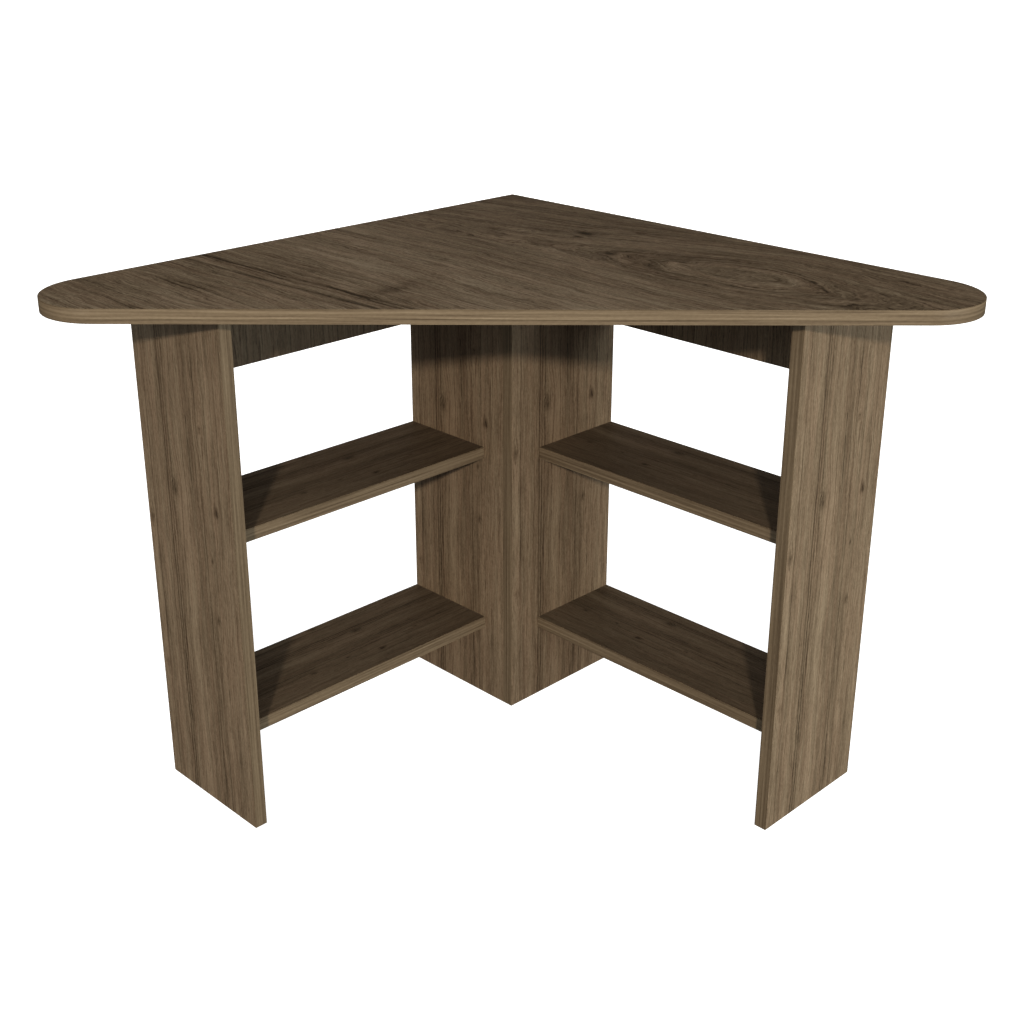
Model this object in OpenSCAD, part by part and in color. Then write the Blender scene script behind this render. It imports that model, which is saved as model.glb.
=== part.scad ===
// Corner desk of 18 mm faced board, held together by cam locks and dowels.
// Row frame: +Z up, origin on the floor at the centre of the square footprint.
// The room's corner is at -X +Y. The right wing runs along the wall at +Y, and the
// left wing along the wall at -X. The straight front edge faces +X -Y.

/* [Desk] */
// Length of each wing along its wall, out to the rounded tip
wing_len = 840; // [800:5:900]
// Height of the desk's top surface
desk_h = 740; // [720:1:760]
// Thickness of every board
board_t = 18; // [16:1:19]
// Radius of the two rounded tips of the top
tip_r = 80; // [60:1:90]

/* [Panels] */
// Distance from the room's corner to the outer face of each outer panel
outer_at = 688; // [660:1:700]
// Depth of the outer panels and of the left centre panel
panel_depth = 200; // [190:1:210]
// Depth of the shelves
shelf_depth = 160; // [155:1:180]
// Height of the lower shelves' underside above the floor
lower_shelf_z = 117; // [100:1:150]
// Height of the upper shelves' underside above the floor
upper_shelf_z = 399; // [360:1:430]
// Height of the back rails
rail_h = 140; // [140:1:160]

/* [Edge banding] */
// Thickness of the glued edge band
band_t = 0.8; // [0.4:0.1:2]

/* [Fasteners] */
// Diameter of a cam housing's bore
cam_bore_d = 15; // [12:1:20]
// Depth of a cam housing's bore
cam_bore_depth = 13.5; // [13.2:0.1:14]
// Distance from a board's end to the middle of the cam
cam_setback = 34; // [24:1:34]
// Diameter of the dowels
dowel_d = 8; // [6:1:8]
// Length of the dowels
dowel_len = 30; // [25:1:35]

/* [Hidden] */
$fn = 48;
fit_gap = 0.05;          // radial clearance of every fastener in its bore
top_z = desk_h - board_t; // underside of the top
column_at = panel_depth + board_t; // outer face of the centre panels
bay_len = outer_at - board_t - column_at; // clear length of a shelf bay
rail_z = top_z - rail_h;
tip_x = wing_len - tip_r; // middle of the tip's arc, along the wall
mid_t = board_t / 2;

// Cam bolt, along its axis: the thread is in the board's face, the head in the cam
bolt_thread_d = 5;
bolt_thread_len = 11;
bolt_thread_rings = 5;
bolt_stem_d = 7;
bolt_stem_len = 24;
bolt_neck_d = 4.4;
bolt_head_d = 6.8;
bolt_head_half = 2.4;
edge_bore_d = 8;
face_bore_depth = 12;
// Cam housing
cam_h = cam_bore_depth - 0.2;
cam_face_t = 4.6;     // solid end with the driver's cross in it
cam_cavity_d = 8.4;   // hollow that takes the bolt's head
cam_neck_w = 5;       // slot that the bolt's neck enters by
cross_w = 1.6;
cross_len = 9;
cross_depth = 2.8;
// Dowel
dowel_in_face = 11;
dowel_end_gap = 1;
dowel_chamfer = 1;

// Rows of fasteners, as distances from the wall side, from a rail's lower edge,
// from a rail's middle, or above the floor
shelf_cam_rows = [35, 125];
shelf_dowel_rows = [80];
top_cam_rows = [55, 145];
top_dowel_rows = [100, 180];
rail_cam_rows = [30, 110];
rail_dowel_rows = [70];
rail_top_cam_rows = [0];
rail_top_dowel_rows = [-124, 124];
column_cam_rows = [100, 361, 622];
column_dowel_rows = [230, 491];

walnut = [0.37, 0.30, 0.22];
walnut_edge = [0.46, 0.39, 0.29];
zinc = [0.66, 0.66, 0.64];
steel = [0.74, 0.72, 0.62];
beech = [0.80, 0.66, 0.47];

// ---------- places ----------
// Everything below is drawn from the room's corner on the floor: the right wing runs
// along +X, and the room is on the -Y side. The left wing is its mirror image.

module in_row_frame() {
    translate([-wing_len / 2, wing_len / 2, 0]) children();
}

module wing(side) {
    in_row_frame() {
        if (side == "left") mirror([1, 1, 0]) children();
        else children();
    }
}

function swapped(p) = [-p[1], -p[0], p[2]];
function on_left(joints) = [for (j = joints) [for (v = j) swapped(v)]];

// ---------- joints ----------
// A joint is [place, into, face]: place is where the bolt's or dowel's axis crosses the
// meeting plane, into points into the board that is drilled in its edge, and face points
// out of the side of that board where the cam shows.

function end_joints(x, into, rows, z, face) =
    [for (r = rows) [[x, -r, z], into, face]];

function shelf_joints(z, rows) = concat(
    end_joints(column_at, [1, 0, 0], rows, z + mid_t, [0, 0, -1]),
    end_joints(outer_at - board_t, [-1, 0, 0], rows, z + mid_t, [0, 0, -1]));

function rail_end_joints(rows) = [
    for (end = [[column_at, 1], [outer_at - board_t, -1]], r = rows)
        [[end[0], -mid_t, rail_z + r], [end[1], 0, 0], [0, 1, 0]]];

function rail_top_joints(rows) = [
    for (r = rows) [[column_at + bay_len / 2 + r, -mid_t, top_z], [0, 0, -1], [0, 1, 0]]];

function panel_top_joints(x, rows) = [
    for (r = rows) [[x, -r, top_z], [0, 0, -1], [-1, 0, 0]]];

function wing_top_joints(rows) = concat(
    panel_top_joints(outer_at - mid_t, rows),
    panel_top_joints(column_at - mid_t, rows));

function column_joints(rows) = [
    for (r = rows) [[panel_depth, -column_at + mid_t, r], [-1, 0, 0], [0, 1, 0]]];

// Draws the children at a joint, with +X into the edge-drilled board and the cam's
// open face towards -Z.
module at_joint(joint) {
    x = joint[1];
    z = -joint[2];
    y = cross(z, x);
    p = joint[0];
    multmatrix([
        [x[0], y[0], z[0], p[0]],
        [x[1], y[1], z[1], p[1]],
        [x[2], y[2], z[2], p[2]],
        [0, 0, 0, 1]
    ]) children();
}

module cam_bores(joints) {
    for (j = joints) at_joint(j) {
        translate([cam_setback, 0, -mid_t - 1]) cylinder(d = cam_bore_d, h = cam_bore_depth + 1);
        rotate([0, 90, 0]) cylinder(d = edge_bore_d, h = cam_setback);
        rotate([0, -90, 0]) cylinder(d = bolt_thread_d, h = face_bore_depth);
    }
}

module dowel_bores(joints) {
    for (j = joints) at_joint(j)
        translate([-dowel_in_face - dowel_end_gap, 0, 0])
            rotate([0, 90, 0]) cylinder(d = dowel_d, h = dowel_len + 2 * dowel_end_gap);
}

// ---------- fasteners ----------

module cam() {
    translate([cam_setback, 0, -mid_t]) difference() {
        cylinder(d = cam_bore_d - 2 * fit_gap, h = cam_h);
        for (turn = [0, 90]) rotate([0, 0, turn])
            translate([-cross_len / 2, -cross_w / 2, -1]) cube([cross_len, cross_w, cross_depth + 1]);
        translate([0, 0, cam_face_t]) cylinder(d = cam_cavity_d, h = cam_h);
        translate([-cam_bore_d, -cam_neck_w / 2, cam_face_t])
            cube([cam_bore_d, cam_neck_w, cam_h]);
    }
}

module cam_bolt() {
    thread_r = bolt_thread_d / 2 - fit_gap;
    root_r = thread_r - 0.5;
    pitch = bolt_thread_len / bolt_thread_rings;
    stem_r = bolt_stem_d / 2;
    neck_r = bolt_neck_d / 2;
    head_r = bolt_head_d / 2;
    thread = [for (i = [0 : bolt_thread_rings - 1])
        each [[root_r, -bolt_thread_len + i * pitch],
              [thread_r, -bolt_thread_len + (i + 0.6) * pitch],
              [thread_r, -bolt_thread_len + (i + 0.8) * pitch],
              [root_r, -bolt_thread_len + (i + 0.9) * pitch]]];
    shank = [[root_r, 0], [stem_r, 0], [stem_r, bolt_stem_len - 1],
             [neck_r, bolt_stem_len], [neck_r, cam_setback - bolt_head_half],
             [head_r, cam_setback - bolt_head_half + 0.8],
             [head_r, cam_setback + bolt_head_half - 1.2],
             [head_r - 1.2, cam_setback + bolt_head_half]];
    rotate([0, 90, 0]) rotate_extrude()
        polygon(concat([[0, -bolt_thread_len]], thread, shank, [[0, cam_setback + bolt_head_half]]));
}

module dowel() {
    r = dowel_d / 2 - fit_gap;
    translate([-dowel_in_face, 0, 0]) rotate([0, 90, 0]) rotate_extrude()
        polygon([[0, 0], [r - dowel_chamfer, 0], [r, dowel_chamfer],
                 [r, dowel_len - dowel_chamfer], [r - dowel_chamfer, dowel_len], [0, dowel_len]]);
}

module cams(joints) { color(zinc) for (j = joints) at_joint(j) cam(); }
module cam_bolts(joints) { color(steel) for (j = joints) at_joint(j) cam_bolt(); }
module dowels(joints) { color(beech) for (j = joints) at_joint(j) dowel(); }

// ---------- top ----------

// The corner that rounding takes off the right tip, a little oversize outside the top
module tip_waste(r) {
    translate([tip_x, -tip_r]) difference() {
        polygon([[0, 0], [0, 2 * r], [3 * r, 2 * r], [3 * r, -3 * r]]);
        circle(r, $fn = 96);
    }
}

// The top's outline, brought in by inset all round
module top_outline(inset) {
    r = tip_r - inset;
    leg = tip_x + (1 + sqrt(2)) * r;
    difference() {
        polygon([[inset, -inset], [leg, -inset], [inset, -leg]]);
        tip_waste(r);
        mirror([1, 1, 0]) tip_waste(r);
    }
}

module right_wall_strip() { translate([0, -band_t]) square([tip_x, band_t]); }
module left_wall_strip() { translate([0, -tip_x]) square([band_t, tip_x - band_t]); }

module top() {
    color(walnut) in_row_frame() difference() {
        translate([0, 0, top_z]) linear_extrude(board_t) top_outline(band_t);
        cam_bores(top_cam_joints());
        dowel_bores(top_dowel_joints());
    }
}

module top_front_edge_band() {
    color(walnut_edge) in_row_frame() translate([0, 0, top_z]) linear_extrude(board_t)
        difference() {
            top_outline(0);
            top_outline(band_t);
            translate([-1, -band_t]) square([tip_x + 1, band_t + 1]);
            translate([-1, -tip_x]) square([band_t + 1, tip_x + 1]);
        }
}

module top_left_edge_band() {
    color(walnut_edge) in_row_frame() translate([0, 0, top_z]) linear_extrude(board_t) left_wall_strip();
}

module top_right_edge_band() {
    color(walnut_edge) in_row_frame() translate([0, 0, top_z]) linear_extrude(board_t) right_wall_strip();
}

module top_cams() { in_row_frame() cams(top_cam_joints()); }
module top_cam_bolts() { in_row_frame() cam_bolts(top_cam_joints()); }
module top_dowels() { in_row_frame() dowels(top_dowel_joints()); }

function wing_and_mirror(joints) = concat(joints, on_left(joints));
function top_cam_joints() =
    wing_and_mirror(concat(wing_top_joints(top_cam_rows), rail_top_joints(rail_top_cam_rows)));
function top_dowel_joints() =
    wing_and_mirror(concat(wing_top_joints(top_dowel_rows), rail_top_joints(rail_top_dowel_rows)));

// ---------- upright panels ----------

// Everything that is bored into a wing's uprights from its shelves, rail and top
module upright_bores() {
    for (z = [lower_shelf_z, upper_shelf_z]) {
        cam_bores(shelf_joints(z, shelf_cam_rows));
        dowel_bores(shelf_joints(z, shelf_dowel_rows));
    }
    cam_bores(rail_end_joints(rail_cam_rows));
    dowel_bores(rail_end_joints(rail_dowel_rows));
    cam_bores(wing_top_joints(top_cam_rows));
    dowel_bores(wing_top_joints(top_dowel_rows));
}

module outer_panel(side) {
    color(walnut) wing(side) difference() {
        translate([outer_at - board_t, -panel_depth + band_t, 0])
            cube([board_t, panel_depth - 2 * band_t, top_z]);
        upright_bores();
    }
}

module outer_panel_edge_bands(side) {
    color(walnut_edge) wing(side) for (y = [-panel_depth, -band_t])
        translate([outer_at - board_t, y, 0]) cube([board_t, band_t, top_z]);
}

// The right centre panel reaches past the left one and covers its front edge
module right_centre_panel() {
    color(walnut) in_row_frame() difference() {
        translate([panel_depth, -column_at + band_t, 0])
            cube([board_t, column_at - 2 * band_t, top_z]);
        upright_bores();
        cam_bores(column_joints(column_cam_rows));
        dowel_bores(column_joints(column_dowel_rows));
    }
}

module right_centre_panel_edge_bands() {
    color(walnut_edge) in_row_frame() for (y = [-column_at, -band_t])
        translate([panel_depth, y, 0]) cube([board_t, band_t, top_z]);
}

module left_centre_panel() {
    color(walnut) difference() {
        wing("left") difference() {
            translate([panel_depth, -panel_depth, 0])
                cube([board_t, panel_depth - band_t, top_z]);
            upright_bores();
        }
        in_row_frame() {
            cam_bores(column_joints(column_cam_rows));
            dowel_bores(column_joints(column_dowel_rows));
        }
    }
}

module left_centre_panel_edge_band() {
    color(walnut_edge) wing("left")
        translate([panel_depth, -band_t, 0]) cube([board_t, band_t, top_z]);
}

module centre_column_cams() { in_row_frame() cams(column_joints(column_cam_rows)); }
module centre_column_cam_bolts() { in_row_frame() cam_bolts(column_joints(column_cam_rows)); }
module centre_column_dowels() { in_row_frame() dowels(column_joints(column_dowel_rows)); }

// ---------- shelves ----------

module shelf(side, z) {
    color(walnut) wing(side) difference() {
        translate([column_at, -shelf_depth + band_t, z])
            cube([bay_len, shelf_depth - 2 * band_t, board_t]);
        cam_bores(shelf_joints(z, shelf_cam_rows));
        dowel_bores(shelf_joints(z, shelf_dowel_rows));
    }
}

module shelf_edge_bands(side, z) {
    color(walnut_edge) wing(side) for (y = [-shelf_depth, -band_t])
        translate([column_at, y, z]) cube([bay_len, band_t, board_t]);
}

module shelf_cams(side, z) { wing(side) cams(shelf_joints(z, shelf_cam_rows)); }
module shelf_cam_bolts(side, z) { wing(side) cam_bolts(shelf_joints(z, shelf_cam_rows)); }
module shelf_dowels(side, z) { wing(side) dowels(shelf_joints(z, shelf_dowel_rows)); }

// ---------- back rails ----------

module back_rail(side) {
    color(walnut) wing(side) difference() {
        translate([column_at, -board_t, rail_z + band_t])
            cube([bay_len, board_t, rail_h - band_t]);
        cam_bores(rail_end_joints(rail_cam_rows));
        dowel_bores(rail_end_joints(rail_dowel_rows));
        cam_bores(rail_top_joints(rail_top_cam_rows));
        dowel_bores(rail_top_joints(rail_top_dowel_rows));
    }
}

module back_rail_edge_band(side) {
    color(walnut_edge) wing(side)
        translate([column_at, -board_t, rail_z]) cube([bay_len, board_t, band_t]);
}

module back_rail_cams(side) { wing(side) cams(rail_end_joints(rail_cam_rows)); }
module back_rail_cam_bolts(side) { wing(side) cam_bolts(rail_end_joints(rail_cam_rows)); }
module back_rail_dowels(side) { wing(side) dowels(rail_end_joints(rail_dowel_rows)); }

// ---------- nodes ----------

top();
top_front_edge_band();
top_left_edge_band();
top_right_edge_band();
outer_panel("left");  // left_outer_panel
outer_panel("right");  // right_outer_panel
left_centre_panel();
right_centre_panel();
shelf("left", upper_shelf_z);  // left_upper_shelf
shelf("left", lower_shelf_z);  // left_lower_shelf
shelf("right", upper_shelf_z);  // right_upper_shelf
shelf("right", lower_shelf_z);  // right_lower_shelf
back_rail("left");  // left_back_rail
back_rail("right");  // right_back_rail
outer_panel_edge_bands("left");  // left_outer_panel_edge_bands
outer_panel_edge_bands("right");  // right_outer_panel_edge_bands
left_centre_panel_edge_band();
right_centre_panel_edge_bands();
shelf_edge_bands("left", upper_shelf_z);  // left_upper_shelf_edge_bands
shelf_edge_bands("left", lower_shelf_z);  // left_lower_shelf_edge_bands
shelf_edge_bands("right", upper_shelf_z);  // right_upper_shelf_edge_bands
shelf_edge_bands("right", lower_shelf_z);  // right_lower_shelf_edge_bands
back_rail_edge_band("left");  // left_back_rail_edge_band
back_rail_edge_band("right");  // right_back_rail_edge_band
shelf_cams("left", upper_shelf_z);  // left_upper_shelf_cams
shelf_cam_bolts("left", upper_shelf_z);  // left_upper_shelf_cam_bolts
shelf_dowels("left", upper_shelf_z);  // left_upper_shelf_dowels
shelf_cams("left", lower_shelf_z);  // left_lower_shelf_cams
shelf_cam_bolts("left", lower_shelf_z);  // left_lower_shelf_cam_bolts
shelf_dowels("left", lower_shelf_z);  // left_lower_shelf_dowels
shelf_cams("right", upper_shelf_z);  // right_upper_shelf_cams
shelf_cam_bolts("right", upper_shelf_z);  // right_upper_shelf_cam_bolts
shelf_dowels("right", upper_shelf_z);  // right_upper_shelf_dowels
shelf_cams("right", lower_shelf_z);  // right_lower_shelf_cams
shelf_cam_bolts("right", lower_shelf_z);  // right_lower_shelf_cam_bolts
shelf_dowels("right", lower_shelf_z);  // right_lower_shelf_dowels
back_rail_cams("left");  // left_back_rail_cams
back_rail_cam_bolts("left");  // left_back_rail_cam_bolts
back_rail_dowels("left");  // left_back_rail_dowels
back_rail_cams("right");  // right_back_rail_cams
back_rail_cam_bolts("right");  // right_back_rail_cam_bolts
back_rail_dowels("right");  // right_back_rail_dowels
centre_column_cams();
centre_column_cam_bolts();
centre_column_dowels();
top_cams();
top_cam_bolts();
top_dowels();
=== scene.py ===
"""Corner desk in walnut-pattern melamine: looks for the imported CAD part.

Row frame in metres: +Z up, the room's corner at -X +Y, the straight front edge towards +X -Y.
The printed patterns are drawn in millimetres of the same frame.
"""
import math

import bpy
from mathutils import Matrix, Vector


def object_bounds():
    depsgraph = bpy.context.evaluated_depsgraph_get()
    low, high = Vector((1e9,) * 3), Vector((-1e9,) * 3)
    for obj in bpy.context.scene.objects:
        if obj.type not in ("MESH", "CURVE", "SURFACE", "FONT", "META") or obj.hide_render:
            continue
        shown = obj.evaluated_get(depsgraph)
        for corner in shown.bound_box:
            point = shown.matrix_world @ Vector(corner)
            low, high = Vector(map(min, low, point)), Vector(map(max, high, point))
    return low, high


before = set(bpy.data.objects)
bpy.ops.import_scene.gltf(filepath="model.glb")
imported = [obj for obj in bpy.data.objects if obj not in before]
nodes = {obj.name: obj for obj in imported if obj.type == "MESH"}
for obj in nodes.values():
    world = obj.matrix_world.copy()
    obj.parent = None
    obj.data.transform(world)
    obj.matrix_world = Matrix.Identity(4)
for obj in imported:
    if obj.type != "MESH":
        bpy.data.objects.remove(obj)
cad_box = [list(corner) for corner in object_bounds()]

# Driving sizes in millimetres
HALF = round(1000 * cad_box[1][0])      # half of the footprint: the walls are at x = -HALF and y = HALF
TOP_HEIGHT = round(1000 * cad_box[1][2])
BOARD = 18
PANEL_DEPTH = 200                       # uprights, out from the wall
COLUMN = 218                            # side of the square centre column, out from either wall
OUTER_FACE = 268                        # outer face of an outer panel, from the middle of the footprint
UPPER_SHELF, LOWER_SHELF = 417, 135     # top faces, over the floor

X, Y, Z = (1, 0, 0), (0, 1, 0), (0, 0, 1)
FROM_RIGHT_WALL, DOWN = (0, -1, 0), (0, 0, -1)
ALONG_FRONT = (math.sqrt(0.5), math.sqrt(0.5), 0)


# ---------- small node-tree helper ----------

class Net:
    """Builds one material's node tree. Values are sockets or plain numbers."""

    def __init__(self, name):
        self.mat = bpy.data.materials.new(name)
        self.mat.use_nodes = True
        self.tree = self.mat.node_tree
        self.tree.nodes.clear()
        self.out = self.add("ShaderNodeOutputMaterial")
        self.bsdf = self.add("ShaderNodeBsdfPrincipled")
        self.link(self.bsdf.outputs[0], self.out.inputs[0])
        self.place = self.add("ShaderNodeTexCoord").outputs["Object"]

    def add(self, kind, **settings):
        made = self.tree.nodes.new(kind)
        for key, value in settings.items():
            setattr(made, key, value)
        return made

    def link(self, a, b):
        self.tree.links.new(a, b)

    def feed(self, socket, value):
        if isinstance(value, bpy.types.NodeSocket):
            self.link(value, socket)
        else:
            socket.default_value = value

    def math(self, op, a, b=0.0, c=0.0):
        made = self.add("ShaderNodeMath", operation=op)
        for socket, value in zip(made.inputs, (a, b, c)):
            self.feed(socket, value)
        return made.outputs[0]

    def plus(self, a, b):
        return self.math("ADD", a, b)

    def minus(self, a, b):
        return self.math("SUBTRACT", a, b)

    def times(self, a, b):
        return self.math("MULTIPLY", a, b)

    def darker(self, value, mark, depth):
        """The value less depth where mark is 1. A negative depth is lighter."""
        return self.minus(value, self.times(mark, depth))

    def dot(self, vector, direction):
        made = self.add("ShaderNodeVectorMath", operation="DOT_PRODUCT")
        self.link(vector, made.inputs[0])
        made.inputs[1].default_value = direction
        return made.outputs["Value"]

    def run(self, direction, start=0.0):
        """Millimetres along a direction of the row frame, counted from start."""
        return self.minus(self.dot(self.place, [1000.0 * d for d in direction]), start)

    def noise(self, vector, scale, detail, rough):
        made = self.add("ShaderNodeTexNoise", noise_dimensions="3D")
        self.link(vector, made.inputs["Vector"])
        made.inputs["Scale"].default_value = scale
        made.inputs["Detail"].default_value = detail
        made.inputs["Roughness"].default_value = rough
        return made.outputs["Fac"]

    def fibres(self, u, v, per_u, per_v, seed, detail=2.0, rough=0.5):
        """0..1 noise drawn out along the grain, with per_u and per_v features to a millimetre."""
        made = self.add("ShaderNodeCombineXYZ")
        for socket, value in zip(made.inputs, (self.times(u, per_u), self.times(v, per_v), seed)):
            self.feed(socket, value)
        return self.noise(made.outputs[0], 1.0, detail, rough)

    def centred(self, value, gain):
        """A 0..1 noise turned into -gain..gain about 0."""
        return self.times(self.minus(value, 0.5), 2.0 * gain)

    def bell(self, *parts):
        """exp(-sum of squares) of (value, centre, half width) triples."""
        total = None
        for value, centre, width in parts:
            scaled = self.times(self.minus(value, centre), 1.0 / width)
            square = self.times(scaled, scaled)
            total = square if total is None else self.plus(total, square)
        return self.math("EXPONENT", self.times(total, -1.0))

    def step(self, value, low, high):
        """Smooth 0..1 as value goes from low to high."""
        made = self.add("ShaderNodeMapRange", interpolation_type="SMOOTHSTEP")
        self.feed(made.inputs["Value"], value)
        made.inputs["From Min"].default_value = low
        made.inputs["From Max"].default_value = high
        return made.outputs["Result"]

    def ramp(self, value, stops):
        made = self.add("ShaderNodeValToRGB")
        self.feed(made.inputs[0], value)
        ramp = made.color_ramp
        while len(ramp.elements) < len(stops):
            ramp.elements.new(0.5)
        for element, (at, colour) in zip(ramp.elements, stops):
            element.position = at
            element.color = (*colour, 1.0)
        return made.outputs[0]

    def mix(self, factor, a, b):
        """Colour a where factor is 0 and colour b where it is 1."""
        made = self.add("ShaderNodeMix", data_type="RGBA")
        for at, value in ((0, factor), (6, a), (7, b)):
            self.feed(made.inputs[at], value)
        return made.outputs[2]

    def bump(self, height, strength, distance):
        made = self.add("ShaderNodeBump")
        self.link(height, made.inputs["Height"])
        made.inputs["Strength"].default_value = strength
        made.inputs["Distance"].default_value = distance
        self.link(made.outputs[0], self.bsdf.inputs["Normal"])

    def finish(self, colour, rough, metallic=0.0, specular=0.5):
        self.feed(self.bsdf.inputs["Base Color"], colour)
        self.feed(self.bsdf.inputs["Roughness"], rough)
        self.bsdf.inputs["Metallic"].default_value = metallic
        self.bsdf.inputs["Specular IOR Level"].default_value = specular
        return self.mat


def cover(obj, material):
    """Gives the whole piece this one material."""
    obj.data.materials.clear()
    obj.data.materials.append(material)


def soften(obj, width):
    """Welds the imported mesh and rounds its arrises."""
    weld = obj.modifiers.new("weld", "WELD")
    weld.merge_threshold = 0.00001
    bevel = obj.modifiers.new("arris", "BEVEL")
    bevel.width = width
    bevel.segments = 2
    bevel.limit_method = "ANGLE"
    bevel.angle_limit = math.radians(40)
    bevel.harden_normals = True


# ---------- printed wood ----------

# Linear colours of the printed pattern, from its darkest line to its lightest
WALNUT = [
    (0.00, (0.040, 0.025, 0.0140)),
    (0.25, (0.098, 0.066, 0.0385)),
    (0.50, (0.180, 0.126, 0.0765)),
    (0.75, (0.268, 0.196, 0.1240)),
    (1.00, (0.380, 0.292, 0.1950)),
]
BAND = [
    (0.00, (0.073, 0.047, 0.0265)),
    (0.30, (0.120, 0.082, 0.0480)),
    (0.55, (0.168, 0.118, 0.0700)),
    (0.80, (0.215, 0.155, 0.0940)),
    (1.00, (0.270, 0.201, 0.1270)),
]
CHIPBOARD = [(0.30, (0.20, 0.13, 0.07)), (0.52, (0.42, 0.30, 0.17)), (0.72, (0.60, 0.46, 0.29))]
EVEN, REDDER = (1.0, 1.0, 1.0), (1.025, 0.985, 0.985)
SHEEN = 0.14        # specular level of the melamine and of its bands


def shaded(stops, tone_with_painted_light, tint=EVEN):
    """The same colours, lighter or darker, and tinted."""
    return [(at, tuple(c * t * tone_with_painted_light for c, t in zip(colour, tint))) for at, colour in stops]


def grain(net, along, across, seed, coarse=0.16, mid=0.18, fine=0.46, pore=0.20, hair=0.20, fleck=0.18):
    """Value of the printed grain: streaks that follow lines of equal "across"."""
    z = seed * 7.31
    value = net.plus(0.5, net.centred(net.fibres(along, across, 0.0022, 0.030, z, 2.0, 0.55), coarse))
    value = net.plus(value, net.centred(net.fibres(along, across, 0.0050, 0.13, z + 3.0, 3.0, 0.6), mid))
    value = net.plus(value, net.centred(net.fibres(along, across, 0.016, 0.55, z + 9.0, 4.0, 0.7), fine))
    pores = net.fibres(along, across, 0.050, 0.95, z + 17.0, 2.0, 0.6)
    value = net.darker(value, net.step(pores, 0.54, 0.68), pore)
    hairs = net.fibres(along, across, 0.0035, 0.36, z + 23.0, 1.0, 0.5)
    value = net.darker(value, net.step(hairs, 0.60, 0.72), hair)
    specks = net.fibres(along, across, 0.22, 0.5, z + 31.0, 2.0, 0.6)
    return net.plus(value, net.centred(specks, fleck))


def warp(net, along, across, seed, amount):
    """Slow wandering of the grain lines."""
    return net.plus(across, net.centred(net.fibres(along, across, 0.0032, 0.009, seed * 3.7), amount))


def knots(net, along, across, lines, spots):
    """Bends the lines round each (along, across, radius, dark) and returns the shading too."""
    shade = 0.0
    for u0, v0, radius, dark in spots:
        near = net.bell((along, u0, radius * 3.6), (across, v0, radius * 1.5))
        lines = net.plus(lines, net.times(net.times(near, net.minus(across, v0)), -0.8))
        core = net.bell((along, u0, radius * 1.25), (across, v0, radius * 0.62))
        shade = net.plus(shade, net.times(core, dark))
    return lines, shade


def faced(net, value, thick, tone_with_painted_light, tint):
    """The printed face, or bare chipboard where the surface isn't a face of the board."""
    plain = net.ramp(value, shaded(WALNUT, tone_with_painted_light))
    redder = net.ramp(value, shaded(WALNUT, tone_with_painted_light, REDDER))
    face = net.mix(tint, plain, redder)
    core = net.ramp(net.noise(net.place, 420.0, 3.0, 0.7), CHIPBOARD)
    normal = net.add("ShaderNodeNewGeometry").outputs["True Normal"]
    is_face = net.math("GREATER_THAN", net.math("ABSOLUTE", net.dot(normal, thick)), 0.8)
    net.bump(value, 0.03, 0.0004)
    rough = net.math("MULTIPLY_ADD", value, -0.10, 0.66)
    return net.finish(net.mix(is_face, core, face), rough, specular=SHEEN)


# ---------- uprights, shelves and rails ----------

PANEL_KNOTS = [
    # along, across, radius, dark
    (462, 71, 10.0, 0.34), (455, 164, 6.0, 0.50), (403, 9, 7.5, 0.30), (382, 146, 3.6, 0.34),
    (297, 150, 6.0, 0.26), (120, 62, 9.0, 0.08), (180, 12, 9.0, 0.20), (560, 140, 8.0, 0.14),
]
PANEL_LINES = [
    # across, half width, depth
    (56.0, 1.4, 0.34), (61.0, 1.0, 0.28), (66.5, 0.9, 0.24), (134.0, 1.2, 0.18), (18.0, 1.2, 0.18),
]
PANEL_STREAKS = [
    # across, half width, depth (negative is lighter)
    (49.0, 5.0, 0.06), (120.0, 9.0, 0.05), (36.0, 9.0, -0.07), (90.0, 13.0, -0.12),
    (8.0, 8.0, -0.11), (158.0, 8.0, -0.06), (188.0, 10.0, -0.06),
]


def board_decor(name, thick, along, across, scale, tone_with_painted_light):
    """The small straight-grained pattern. along and across are (direction, start)."""
    net = Net(name + "_decor")
    u = net.times(net.run(*along), scale)
    v = net.times(net.run(*across), scale)
    ragged = net.fibres(u, v, 0.017, 0.06, 6.0, 3.0, 0.6)
    straight = net.plus(v, net.centred(ragged, 3.0))
    lines = net.plus(warp(net, u, v, 1.0, 9.0), net.centred(ragged, 4.0))
    lines, dark = knots(net, u, v, lines, PANEL_KNOTS)
    value = grain(net, u, lines, 1.0)
    for at, width, depth in PANEL_LINES:
        value = net.darker(value, net.bell((straight, at, width)), depth)
    for at, width, depth in PANEL_STREAKS:
        value = net.darker(value, net.bell((lines, at, width)), depth)
    tint = net.step(net.fibres(u, lines, 0.006, 0.11, 41.0), 0.40, 0.62)
    return faced(net, net.minus(value, dark), thick, tone_with_painted_light, tint)
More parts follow.
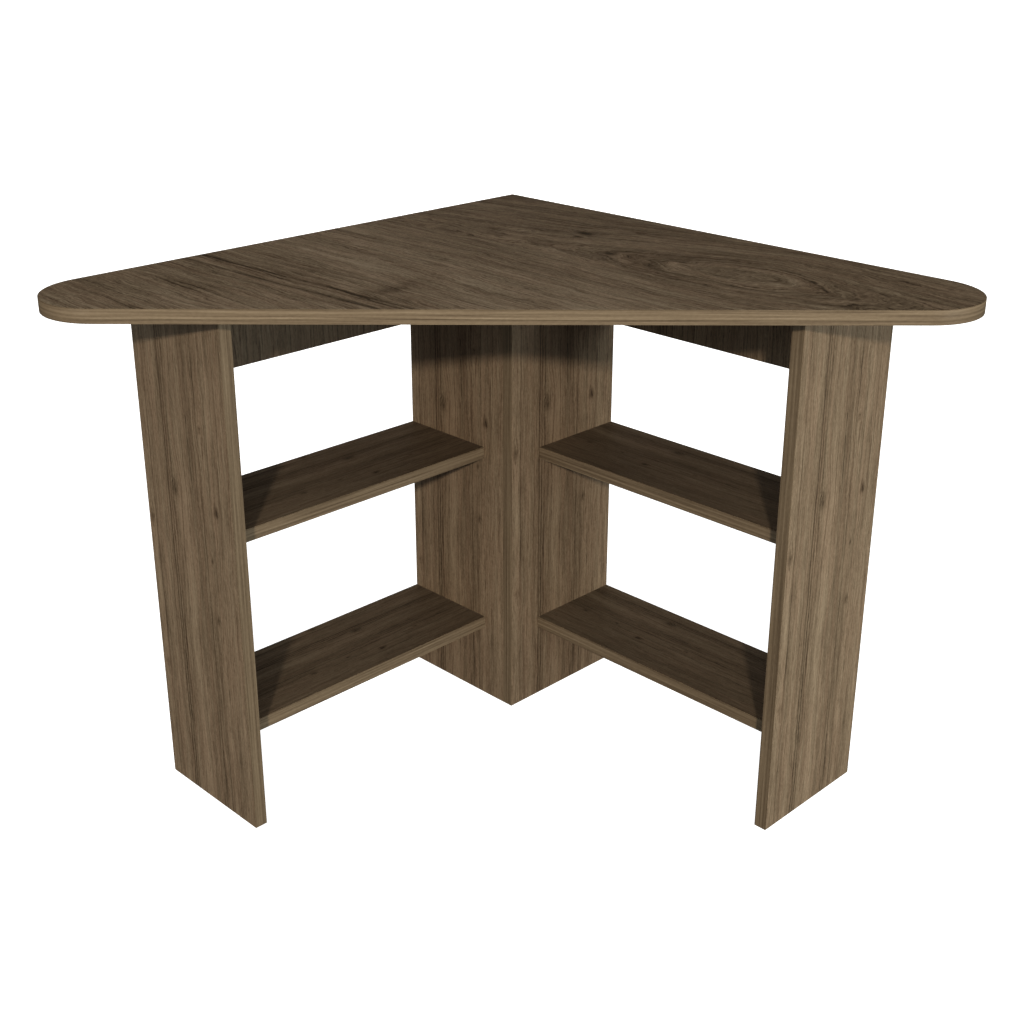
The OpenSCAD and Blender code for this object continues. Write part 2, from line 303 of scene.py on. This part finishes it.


# board: thickness axis, (grain direction, start), (direction across it, start), scale of the print, tone
# with painted light.
# A start that isn't an edge of the board is where the printed sheet happened to be cut.
# Every board is the same melamine. The tones paint light and shade into it: the shelves under the top and
# the left back rail are painted darker, the uprights lighter.
BOARDS = {
    "left_outer_panel": (Y, (Z, 0), (X, -HALF), 1.0, 1.16),
    "right_outer_panel": (X, (Z, 0), (Y, HALF - PANEL_DEPTH), 1.0, 1.18),
    "left_centre_panel": (Y, (Z, 0), (X, -HALF), 1.0, 1.16),
    "right_centre_panel": (X, (Z, 0), (Y, HALF - COLUMN), 0.96, 1.18),
    "left_upper_shelf": (Z, (Y, -320), (X, -HALF), 1.32, 0.54),
    "left_lower_shelf": (Z, (Y, -320), (X, -HALF), 1.32, 0.53),
    "right_upper_shelf": (Z, (X, -385), (FROM_RIGHT_WALL, -440), 1.35, 0.52),
    "right_lower_shelf": (Z, (X, -385), (FROM_RIGHT_WALL, -440), 1.35, 0.52),
    "left_back_rail": (X, (Z, 90), (Y, -260), 1.0, 0.56),
    "right_back_rail": (Y, (Z, 90), (X, -210), 1.0, 0.92),
}
for name, look in BOARDS.items():
    cover(nodes[name], board_decor(name, *look))


# ---------- top ----------

# Everything on the top is placed by u from the left wall and v from the right wall
EYE_U, EYE_V = 563.0, 163.0         # middle of the long eye
EYE_LENGTH, EYE_SPREAD, EYE_CORE = 200.0, 84.0, 44.0
EYE_SLOPE = 0.20                    # left of the eye the grain drifts away from the right wall
EYE_RINGS = [
    # size, half width, depth
    (47.0, 2.2, 0.20), (55.0, 1.8, 0.08), (68.0, 2.4, 0.20), (75.0, 2.0, 0.10),
]
TOP_KNOTS = [
    # u, v, radius, dark
    (271, 122, 10.0, 0.75), (277, 143, 6.0, 0.60), (322, 68, 8.0, 0.30), (160, 197, 10.0, 0.34),
    (129, 251, 10.0, 0.32), (373, 197, 5.0, 0.40), (472, 160, 6.0, 0.32), (110, 250, 9.0, 0.20),
]
STREAK_SLOPE = 0.06                 # the streaks' v falls by this for each millimetre of u
TOP_STREAKS = [
    # v at the left wall, half width, depth
    (579.0, 2.8, 0.50), (588.0, 2.0, 0.30), (606.0, 2.8, 0.38), (625.0, 2.6, 0.18), (559.0, 2.0, 0.10),
]
# Places and their half widths
LIGHT_BELT_V, DARK_BELT_V = (400.0, 90.0), (180.0, 110.0)
SMUDGE_U, SMUDGE_V = (308.0, 14.0), (515.0, 46.0)
BAR_U, BAR_V = (345.0, 40.0), (548.0, 8.0)
PAINTED_LIGHT_BY_V, PAINTED_LIGHT_BY_U = 0.17 / 650, 0.11 / 650     # painted light: the top is made lighter away from the walls


def top_decor():
    """Crown-cut pattern with one long eye near the right wing, grain along +X."""
    net = Net("top_decor")
    u = net.run(X, -HALF)
    v = warp(net, u, net.run(FROM_RIGHT_WALL, -HALF), 5.0, 12.0)
    ragged = net.fibres(u, v, 0.014, 0.035, 4.0, 3.0, 0.6)

    left_of_eye = net.math("MAXIMUM", net.minus(EYE_U, u), 0.0)
    drift = net.times(net.times(left_of_eye, EYE_SLOPE), net.step(v, 330.0, 190.0))
    dv = net.minus(v, net.plus(drift, EYE_V))
    opened = net.times(net.minus(1.0, net.bell((u, EYE_U, EYE_LENGTH))), EYE_SPREAD ** 2)
    around = net.plus(net.times(dv, dv), opened)
    rings = net.math("SQRT", net.plus(around, EYE_CORE ** 2))
    side = net.step(dv, -30.0, 30.0)
    lines = net.plus(net.plus(rings, net.times(side, 7.0)), net.centred(ragged, 9.0))
    lines, dark = knots(net, u, v, lines, TOP_KNOTS)
    value = grain(net, u, lines, 2.0, coarse=0.26, mid=0.44, fine=0.66, pore=0.28, hair=0.28, fleck=0.34)

    loop = net.plus(net.math("SQRT", around), net.centred(ragged, 16.0))
    for size, width, depth in EYE_RINGS:
        value = net.darker(value, net.bell((loop, size, width)), depth)
    sloped = net.plus(v, net.times(u, STREAK_SLOPE))
    strength = net.plus(0.25, net.times(net.step(u, 520.0, 330.0), 0.75))
    for at, width, depth in TOP_STREAKS:
        value = net.darker(value, net.times(net.bell((sloped, at, width)), depth), strength)

    value = net.darker(value, net.bell((v, *LIGHT_BELT_V)), -0.10)
    value = net.darker(value, net.bell((v, *DARK_BELT_V)), 0.05)
    # Painted light: the top grows lighter away from the walls.
    value = net.plus(value, net.plus(net.times(v, PAINTED_LIGHT_BY_V), net.times(u, PAINTED_LIGHT_BY_U)))
    ragged_u = net.plus(u, net.centred(ragged, 30.0))
    value = net.darker(value, net.bell((ragged_u, *SMUDGE_U), (v, *SMUDGE_V)), 0.30)
    value = net.darker(value, net.bell((u, *BAR_U), (v, *BAR_V)), 0.20)
    tint = net.step(net.fibres(u, lines, 0.006, 0.09, 43.0), 0.40, 0.62)
    # 0.765 is the top's tone: the melamine's own colour with painted light in it, as in the boards' tones.
    return faced(net, net.minus(value, dark), Z, 0.765, tint)


cover(nodes["top"], top_decor())


# ---------- edge bands ----------

BAND_LINES = [
    # across, half width, depth (negative is lighter), the same on every band off the reel
    (0.3, 0.9, 0.16), (4.2, 1.4, -0.05), (7.6, 0.8, 0.13),
    (10.3, 1.3, -0.15), (13.2, 1.3, 0.17), (16.2, 0.8, 0.06),
]


def band_decor(name, along, across, seed, tone_with_painted_light):
    """Edge band, printed with fine lines along its length. across is (direction, start)."""
    net = Net(name + "_decor")
    u, v = net.run(along), net.run(*across)
    value = net.plus(0.56, net.centred(net.fibres(u, v, 0.003, 0.10, seed), 0.22))
    value = net.plus(value, net.centred(net.fibres(u, v, 0.007, 0.42, seed + 5.0, 3.0, 0.6), 0.60))
    hairs = net.fibres(u, v, 0.0025, 0.30, seed + 11.0, 1.0, 0.5)
    value = net.darker(value, net.step(hairs, 0.59, 0.70), 0.26)
    flecks = net.fibres(u, v, 0.15, 0.5, seed + 17.0, 2.0, 0.6)
    value = net.plus(value, net.centred(flecks, 0.20))
    for at, width, depth in BAND_LINES:
        value = net.darker(value, net.bell((v, at, width)), depth)
    net.bump(value, 0.05, 0.0003)
    rough = net.math("MULTIPLY_ADD", value, -0.08, 0.58)
    return net.finish(net.ramp(value, shaded(BAND, tone_with_painted_light)), rough, specular=SHEEN)


# band: direction along it, (direction across it, start)
BANDS = {
    "top_front_edge_band": (ALONG_FRONT, (DOWN, -TOP_HEIGHT)),
    "top_left_edge_band": (Y, (DOWN, -TOP_HEIGHT)),
    "top_right_edge_band": (X, (DOWN, -TOP_HEIGHT)),
    "left_outer_panel_edge_bands": (Z, (Y, -OUTER_FACE)),
    "right_outer_panel_edge_bands": (Z, (X, OUTER_FACE - BOARD)),
    "left_centre_panel_edge_band": (Z, (Y, HALF - COLUMN)),
    "right_centre_panel_edge_bands": (Z, (X, PANEL_DEPTH - HALF)),
    "left_upper_shelf_edge_bands": (Y, (DOWN, -UPPER_SHELF)),
    "left_lower_shelf_edge_bands": (Y, (DOWN, -LOWER_SHELF)),
    "right_upper_shelf_edge_bands": (X, (DOWN, -UPPER_SHELF)),
    "right_lower_shelf_edge_bands": (X, (DOWN, -LOWER_SHELF)),
    "left_back_rail_edge_band": (Y, (X, -HALF)),
    "right_back_rail_edge_band": (X, (FROM_RIGHT_WALL, -HALF)),
}
BAND_ARRIS = 0.00025
for i, (name, (along, across)) in enumerate(BANDS.items()):
    # Painted light: the top's bands are painted lighter than the other bands, though all come off the same
    # reel.
    tone_with_painted_light = 1.15 if name.startswith("top") else 1.03
    cover(nodes[name], band_decor(name, along, across, 2.7 * i, tone_with_painted_light))
    soften(nodes[name], BAND_ARRIS)


# ---------- fittings ----------

def zinc():
    net = Net("cast_zinc")
    mottle = net.noise(net.place, 900.0, 3.0, 0.6)
    net.bump(mottle, 0.25, 0.0002)
    colour = net.ramp(mottle, [(0.3, (0.34, 0.34, 0.33)), (0.7, (0.56, 0.56, 0.55))])
    return net.finish(colour, net.math("MULTIPLY_ADD", mottle, 0.25, 0.38), metallic=0.35)


def steel():
    net = Net("plated_steel")
    mottle = net.noise(net.place, 600.0, 2.0, 0.5)
    colour = net.ramp(mottle, [(0.3, (0.50, 0.47, 0.36)), (0.7, (0.66, 0.64, 0.54))])
    return net.finish(colour, net.math("MULTIPLY_ADD", mottle, 0.15, 0.25), metallic=0.45)


def beech():
    net = Net("beech")
    flecks = net.noise(net.place, 700.0, 3.0, 0.6)
    colour = net.ramp(flecks, [(0.3, (0.42, 0.26, 0.13)), (0.7, (0.62, 0.43, 0.25))])
    net.bump(flecks, 0.2, 0.0002)
    return net.finish(colour, net.math("MULTIPLY_ADD", flecks, 0.2, 0.5), specular=0.3)


METAL_ARRIS = 0.00015
FITTINGS = {"_cams": zinc(), "_cam_bolts": steel(), "_dowels": beech()}
for name, obj in nodes.items():
    for ending, material in FITTINGS.items():
        if name.endswith(ending):
            cover(obj, material)
            if ending != "_dowels":
                soften(obj, METAL_ARRIS)


# ---------- stage ----------

WHITE = (1.0, 1.0, 1.0, 1.0)


def floor_plane(half, z):
    """Square white floor, lit by itself, so that nothing shades it."""
    mesh = bpy.data.meshes.new("floor")
    corners = [(-half, -half, z), (half, -half, z), (half, half, z), (-half, half, z)]
    mesh.from_pydata(corners, [], [(0, 1, 2, 3)])
    obj = bpy.data.objects.new("floor", mesh)
    bpy.context.scene.collection.objects.link(obj)
    net = Net("pale_floor")
    net.finish((0.9, 0.9, 0.9, 1.0), 0.9, specular=0.0)
    net.bsdf.inputs["Emission Color"].default_value = WHITE
    net.bsdf.inputs["Emission Strength"].default_value = 1.0
    obj.data.materials.append(net.mat)
    obj.visible_diffuse = False
    obj.visible_glossy = False
    return obj


floor = floor_plane(30.0, -0.0005)

scene = bpy.context.scene
world = bpy.data.worlds.new("studio")
world.use_nodes = True
world.cycles_visibility.glossy = False
scene.world = world
sky_nodes, sky_links = world.node_tree.nodes, world.node_tree.links
sky = sky_nodes["Background"]
sky.inputs["Color"].default_value = (0.94, 0.955, 1.0, 1.0)
sky.inputs["Strength"].default_value = 0.16
# Plain white wherever the camera looks past the floor
backdrop = sky_nodes.new("ShaderNodeBackground")
backdrop.inputs["Color"].default_value = WHITE
backdrop.inputs["Strength"].default_value = 1.0
either = sky_nodes.new("ShaderNodeMixShader")
rays = sky_nodes.new("ShaderNodeLightPath")
sky_links.new(rays.outputs["Is Camera Ray"], either.inputs[0])
sky_links.new(sky.outputs[0], either.inputs[1])
sky_links.new(backdrop.outputs[0], either.inputs[2])
sky_links.new(either.outputs[0], sky_nodes["World Output"].inputs["Surface"])

AIM = Vector((-0.1, 0.1, 0.4))


def lamp(name, turn, height, distance, size, power, colour, glossy=True):
    """Disk lamp turned from the diagonal towards the viewer's right, in degrees, aimed at the desk."""
    a, e = math.radians(turn - 45), math.radians(height)
    away = Vector((math.cos(a) * math.cos(e), math.sin(a) * math.cos(e), math.sin(e)))
    data = bpy.data.lights.new(name, "AREA")
    data.shape = "DISK"
    data.size = size
    data.energy = power
    data.color = colour
    obj = bpy.data.objects.new(name, data)
    obj.location = AIM + away * distance
    obj.visible_glossy = glossy
    obj.rotation_euler = (-away).to_track_quat("-Z", "Y").to_euler()
    scene.collection.objects.link(obj)


lamp("key", -1.6, 23.4, 18.0, 0.85, 1830, (1.0, 0.92, 0.81))
lamp("right_low", 45, 2, 6.0, 2.0, 126, (0.86, 0.96, 1.0))
lamp("right_side", 60, 8, 6.0, 2.0, 65, (0.86, 0.98, 1.0))
lamp("left_side", -45, 15, 6.0, 2.0, 50, (0.78, 0.92, 1.0))
lamp("front_high", 0, 50, 6.0, 2.0, 52, (0.93, 1.0, 0.99))
lamp("back", 180, 12, 6.0, 3.0, 140, (1.0, 0.97, 0.93), glossy=False)


# ---------- camera ----------

# In metres from the room's corner: out along the diagonal, to the viewer's right of it, and over the floor
CAMERA_OUT, CAMERA_RIGHT, CAMERA_HEIGHT = 2.26793, 0.00549, 1.18343
PITCH, YAW = 0.38075, 0.00674       # looking down and turned left of the diagonal, in radians

camera = bpy.data.objects.new("camera", bpy.data.cameras.new("camera"))
scene.collection.objects.link(camera)
scene.camera = camera
camera.location = (
    -HALF / 1000 + (CAMERA_OUT + CAMERA_RIGHT) * math.sqrt(0.5),
    HALF / 1000 - (CAMERA_OUT - CAMERA_RIGHT) * math.sqrt(0.5),
    CAMERA_HEIGHT,
)
camera.rotation_euler = (math.pi / 2 - PITCH, 0.0, math.pi / 4 + YAW)
camera.data.sensor_width = 36.0
camera.data.lens = 50.86
camera.data.shift_x = 0.00558
camera.data.shift_y = -0.04232
camera.data.clip_start = 0.05
camera.data.clip_end = 200.0
scene.view_settings.view_transform = "Standard"
